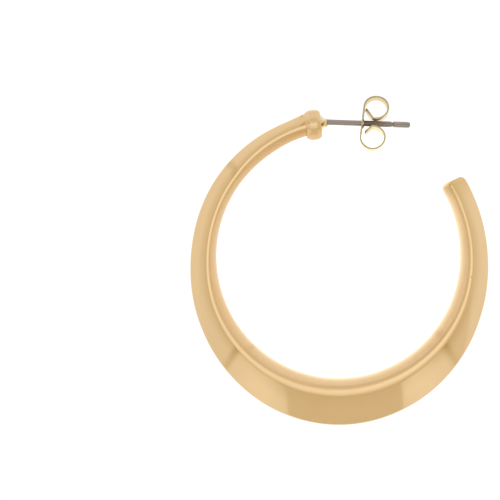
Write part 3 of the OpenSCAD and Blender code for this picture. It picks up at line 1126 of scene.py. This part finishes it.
class EARRING_OT_clutch(bpy.types.Operator):
    """Make the butterfly clutch"""

    bl_idname = "earring.clutch"
    bl_label = "Butterfly clutch"

    def execute(self, context):
        size = millimetres(context.scene.earring_clutch)
        material = clutch_gold(context.scene.earring_look)
        upper_r = size["upper_radius"]
        lower_r = size["lower_radius"]
        upper = Vector((CUP_X + size["along"], POST_Y + size["grip"] + upper_r))
        lower = Vector((upper.x - LOWER_BACK, POST_Y - size["grip"] - lower_r))
        path = self.path(upper, upper_r, lower, lower_r)
        mesh = run_tree(self.path_points(path), strip_tree(), "clutch_strip", {
            "Thickness": size["thickness"],
            "Width": size["width"],
            "Corner": size["corner"],
            "Lowest": lower.y - lower_r - size["thickness"],
            "Highest": upper.y + upper_r + size["thickness"],
            "End Rounding": 0.7,
            "Edge Rounding": 0.06,
            "Points per Corner": 5,
            "Closing Rings": 2,
            "Material": material,
        })
        plate_x = min(path, key=lambda point: abs(point.y - POST_Y) + point.x).x
        mesh = self.with_hole(mesh, plate_x, size, material)
        hole = Matrix.Translation((plate_x, POST_Y, 0))
        turned = Matrix.Rotation(math.radians(CLUTCH_TURN), 4, "X")
        askew = Matrix.Rotation(math.radians(CLUTCH_ASKEW), 4, "Y")
        mesh.transform(hole @ turned @ askew @ hole.inverted())
        add_piece("clutch_gold", mesh, "clutch", "butterfly_clutch")
        return {"FINISHED"}

    def flared_end(self, centre, radius, flare, side):
        """From a flare's tip round its bend to the foot of the scroll. side is -1 when mirrored."""
        back, length, turn = flare
        bend = Vector((-back, BEND_RADIUS - radius))
        foot = arc(bend, BEND_RADIUS, 270 - turn, 270)
        leaving = Vector((math.sin(math.radians(270 - turn)), -math.cos(math.radians(270 - turn))))
        points = straight(foot[0] + leaving * length, foot[0]) + foot
        points += straight(Vector((-back, -radius)), Vector((0, -radius)))
        return [centre + Vector((point.x, point.y * side)) for point in points]

    def path(self, upper, upper_r, lower, lower_r):
        """The strip from one flared end, round both scrolls, to the other."""
        between = upper - lower
        lead = math.degrees(math.acos((lower_r - upper_r) / between.length))
        tangent = math.degrees(math.atan2(between.y, between.x)) + lead
        points = self.flared_end(upper, upper_r, UPPER_FLARE, 1)
        high = arc(upper, upper_r, -90, tangent)
        low = arc(lower, lower_r, tangent, 450)
        points += high + straight(high[-1], low[0]) + low
        points += reversed(self.flared_end(lower, lower_r, LOWER_FLARE, -1))
        clean = [points[0]]
        for point in points[1:]:
            if (point - clean[-1]).length > PATH_STEP / 4:
                clean.append(point)
        return [Vector((upper.x + (point.x - upper.x) * STRETCH, point.y)) for point in clean]

    def path_points(self, path):
        ways = ways_along(path)
        return points_mesh("clutch_path", {
            "x": [point.x for point in path],
            "y": [point.y for point in path],
            "from_end": [min(way, ways[-1] - way) for way in ways],
        })

    def with_hole(self, mesh, plate_x, size, material):
        """Presses the dimple out of the plate, away from the cap, and opens the hole in it."""
        foot, top, height = DIMPLE
        hole = size["hole_radius"]
        face = size["thickness"] / 2
        placed = Matrix.Translation((plate_x, POST_Y, 0))
        boss = rounded((
            (-face * 0.6, 0, 0),
            (-face * 0.6, foot, 0),
            (face, foot, 0.2),
            (height, top, 0.08),
            (height, 0, 0),
        ))
        funnel = rounded((
            (-1, 0, 0),
            (-1, hole + HOLE_MOUTH[1], 0),
            (-face - 0.05, hole + HOLE_MOUTH[0], 0.2),
            (height * 0.6, hole, 0.2),
            (1, hole, 0),
            (1, 0, 0),
        ))
        steps = ((boss, "UNION", DIMPLE_PATTERN), (funnel, "DIFFERENCE", HOLE_PATTERN))
        for outline, operation, pattern in steps:
            tool = lathe("dimple", outline, 96, placed)
            tool.uv_layers["UVMap"].data.foreach_set("uv", pattern * len(tool.loops))
            tool.materials.append(material)
            mesh = combined(mesh, tool, operation)
        return mesh


# Camera, floor and light tent

# The photo is 500 pixels wide, at 8.4 pixels to the millimetre in the plane of the post
FRAME_WIDTH = 500 / 8.4
SENSOR_WIDTH = 36
CAMERA_HEIGHT = 244.4
# Where the camera looks, from the middle of the hoop, and how far the photo is turned
CAMERA_AT = (-10.518, 0.331)
CAMERA_TURN = 1.96

# Half the side of the light tent and its height, and how far the floor reaches, in metres
TENT_HALF = 0.6
TENT_HEIGHT = 0.6
FLOOR_REACH = 2
# The tent's walls glow by this much. Its front, between two directions in degrees, glows more, and
# the wall beyond the front's right corner glows less until further round.
WALLS = 0.99
FRONT = (-136.5, -34.5)
FRONT_MORE = 0.05
BESIDE_END = (-28, 0)
BESIDE_LESS = 0.07
# The brightest parts of the front: their directions and reach, and how much more they glow
BRIGHTEST = (-120, -50)
BRIGHTEST_REACH = 13
BRIGHTEST_MORE = 0.08
# The upright seams: direction, reach and depth. They are fainter below a rise in degrees.
SEAMS = ((47, 2.2, 0.20), (141, 3.2, 0.27), (-137, 2.8, 0.28), (-34.5, 3.4, 0.28))
SEAMS_FULL_AT = 20
# The opening in front: how far to the side its two edges stand and how far out each leans for a
# millimetre up, how far forward it starts and is full, how soft its edges are, and its glow
OPENING_LEFT = (-124, -0.319)
OPENING_RIGHT = (317, 0.24)
OPENING_AT = (570, 580)
OPENING_SOFT = 9
OPENING_GLOW = 0.85
# The roof: where its brightest place lies for a millimetre up, its glow there, how far from there
# it fades, and by how much, and the rise over which the walls pass into it
ROOF_AT = (-0.38, 0.25)
ROOF_GLOW = 1.26
ROOF_FADE = (0.3, 1.2)
ROOF_LOSS = 0.43
ROOF_FROM = (33, 39)
# The seam round the roof, and its stretch above the opening: rise, reach and depth
ROOF_SEAM = (27, 11, 0.2)
OPENING_SEAM = (32, 4, 0.12)
# How much of its green and of its blue the cloth loses as it glows less
GREEN_LOSS = 0.33
BLUE_LOSS = 1.3


def tent_cloth():
    """Glowing cloth: brightest overhead, with upright seams, one round the roof and an opening."""
    material, graph = new_material("tent_cloth")
    x, y, z = graph.split(graph.place())
    rise = z.math("ARCTAN2", distance(x, y)) * math.degrees(1)
    turn = y.math("ARCTAN2", x) * math.degrees(1)
    past_left, past_right = (turn.smooth(corner - 1, corner + 1) for corner in FRONT)
    beside = past_right * (1 - turn.smooth(*BESIDE_END))
    light = WALLS + past_left * (1 - past_right) * FRONT_MORE - beside * BESIDE_LESS
    for direction in BRIGHTEST:
        light = light + turn.near(direction, BRIGHTEST_REACH) * BRIGHTEST_MORE
    for seam, reach, depth in SEAMS:
        light = light - turn.near(seam, reach) * (0.3 + rise.smooth(0, SEAMS_FULL_AT) * 0.7) * depth
    left = OPENING_LEFT[0] + z * OPENING_LEFT[1]
    right = OPENING_RIGHT[0] + z * OPENING_RIGHT[1]
    inside = (-y).smooth(*OPENING_AT)
    for past_edge in (x - left, right - x):
        inside = inside * past_edge.smooth(-OPENING_SOFT, OPENING_SOFT)
    light = light.to(OPENING_GLOW, inside)
    off = distance(x - z * ROOF_AT[0], y - z * ROOF_AT[1]) / z.least(1)
    light = light.to(ROOF_GLOW - off.within(*ROOF_FADE) * ROOF_LOSS, rise.smooth(*ROOF_FROM))
    around, above = (rise.near(*seam[:2]) * seam[2] for seam in (ROOF_SEAM, OPENING_SEAM))
    light = light - around.to(above, inside)
    dimmer = 1 - light.most(1)
    colour = graph.colour(light, light * (1 - dimmer * GREEN_LOSS), light * (1 - dimmer * BLUE_LOSS))
    glow = graph.add("ShaderNodeEmission", None, {"Color": colour, "Strength": 1})
    graph.add("ShaderNodeOutputMaterial", None, {"Surface": glow["Emission"]})
    return material


# The corners of a flat square, in order round it
SQUARE = ((-1, -1), (1, -1), (1, 1), (-1, 1))
# The floor's glow, and between which distances from the hoop's middle it fades and by how much
FLOOR_GLOW = 0.96
FLOOR_FADE = (24, 42)
FLOOR_LOSS = 0.03
# A ring round the hoop's inner edge that glows more: where it starts, where it ends, and how much
RING_START = (7, 14)
RING_END = (14.2, 18)
RING_MORE = 0.9


def card(name, corners, faces, material):
    """A flat or boxed card that belongs to the stage."""
    mesh = bpy.data.meshes.new(name)
    mesh.from_pydata(corners, [], faces)
    mesh.materials.append(material)
    thing = add_object(name, mesh)
    return thing


class EARRING_OT_stage(bpy.types.Operator):
    """Make the floor, the light tent and the camera"""

    bl_idname = "earring.stage"
    bl_label = "Stage"

    def execute(self, context):
        scene = context.scene
        scene.view_settings.view_transform = "Standard"
        world = bpy.data.worlds.new("studio")
        world.use_nodes = True
        background = world.node_tree.nodes["Background"]
        background.inputs["Color"].default_value = (1, 1, 1, 1)
        background.inputs["Strength"].default_value = 1
        scene.world = world
        self.add_floor()
        self.add_tent()
        self.add_camera(scene)
        return {"FINISHED"}

    def add_floor(self):
        """A pale floor that glows like a light table, most under the earring."""
        material, graph = new_material("floor")
        x, y, _ = graph.split(graph.place())
        away = distance(x, y)
        # The ring glows most at the bottom, less on the right and least at the top and the left
        up = y / away.least(1)
        side = x / away.least(1) * 0.25 + (-up).least(0) ** 2 * 0.64 - up.least(0) * 0.2 + 0.58
        ring = away.within(*RING_START) ** 2 * (1 - away.smooth(*RING_END)) * side.least(0)
        glow = FLOOR_GLOW + ring * RING_MORE - away.smooth(*FLOOR_FADE) * FLOOR_LOSS
        finished(material, graph, {
            "Base Color": (0.10, 0.10, 0.10, 1),
            "Roughness": 0.8,
            "Specular IOR Level": 0,
            "Emission Color": graph.colour(glow, glow, glow),
            "Emission Strength": 1,
        })
        corners = [(x * FLOOR_REACH, y * FLOOR_REACH, 0) for x, y in SQUARE]
        card("floor", corners, [(0, 1, 2, 3)], material)

    def add_tent(self):
        """Four walls and a roof, which light the earring but aren't seen by the camera."""
        corners = [(x * TENT_HALF, y * TENT_HALF, z) for z in (0, TENT_HEIGHT) for x, y in SQUARE]
        walls = [(side, (side + 1) % 4, (side + 1) % 4 + 4, side + 4) for side in range(4)]
        tent = card("tent", corners, walls + [(4, 5, 6, 7)], tent_cloth())
        tent.visible_camera = False

    def add_camera(self, scene):
        data = bpy.data.cameras.new("camera")
        data.sensor_width = SENSOR_WIDTH
        data.lens = SENSOR_WIDTH * CAMERA_HEIGHT / FRAME_WIDTH
        data.clip_start = 0.01
        camera = add_object("camera", data)
        camera.location = HOOP_AT + Vector((*CAMERA_AT, CAMERA_HEIGHT)) * MM
        camera.rotation_euler = (0, 0, math.radians(CAMERA_TURN))
        scene.camera = camera


class VIEW3D_PT_earring(bpy.types.Panel):
    """The earring's sizes, colours and pieces"""

    bl_label = "C-hoop earring"
    bl_space_type = "VIEW_3D"
    bl_region_type = "UI"
    bl_category = "Earring"

    def draw(self, context):
        layout = self.layout
        for name in GROUPS:
            settings = getattr(context.scene, name)
            for label in settings.__annotations__:
                layout.prop(settings, label)
        for operator in OPERATORS:
            layout.operator(operator.bl_idname)


GROUPS = {
    "earring_look": LookSettings,
    "earring_hoop": HoopSettings,
    "earring_cap": CapSettings,
    "earring_post": PostSettings,
    "earring_clutch": ClutchSettings,
}
OPERATORS = (EARRING_OT_stage, EARRING_OT_hoop, EARRING_OT_cap, EARRING_OT_post, EARRING_OT_clutch)
CLASSES = (*GROUPS.values(), *OPERATORS, VIEW3D_PT_earring)


def register():
    for one in CLASSES:
        bpy.utils.register_class(one)
    for name, group in GROUPS.items():
        setattr(bpy.types.Scene, name, bpy.props.PointerProperty(type=group))


def unregister():
    for name in GROUPS:
        delattr(bpy.types.Scene, name)
    for one in reversed(CLASSES):
        bpy.utils.unregister_class(one)


def main():
    register()
    bpy.ops.earring.stage()
    bpy.ops.earring.hoop()
    bpy.ops.earring.cap()
    bpy.ops.earring.post()
    bpy.ops.earring.clutch()


if __name__ == "__main__":
    main()
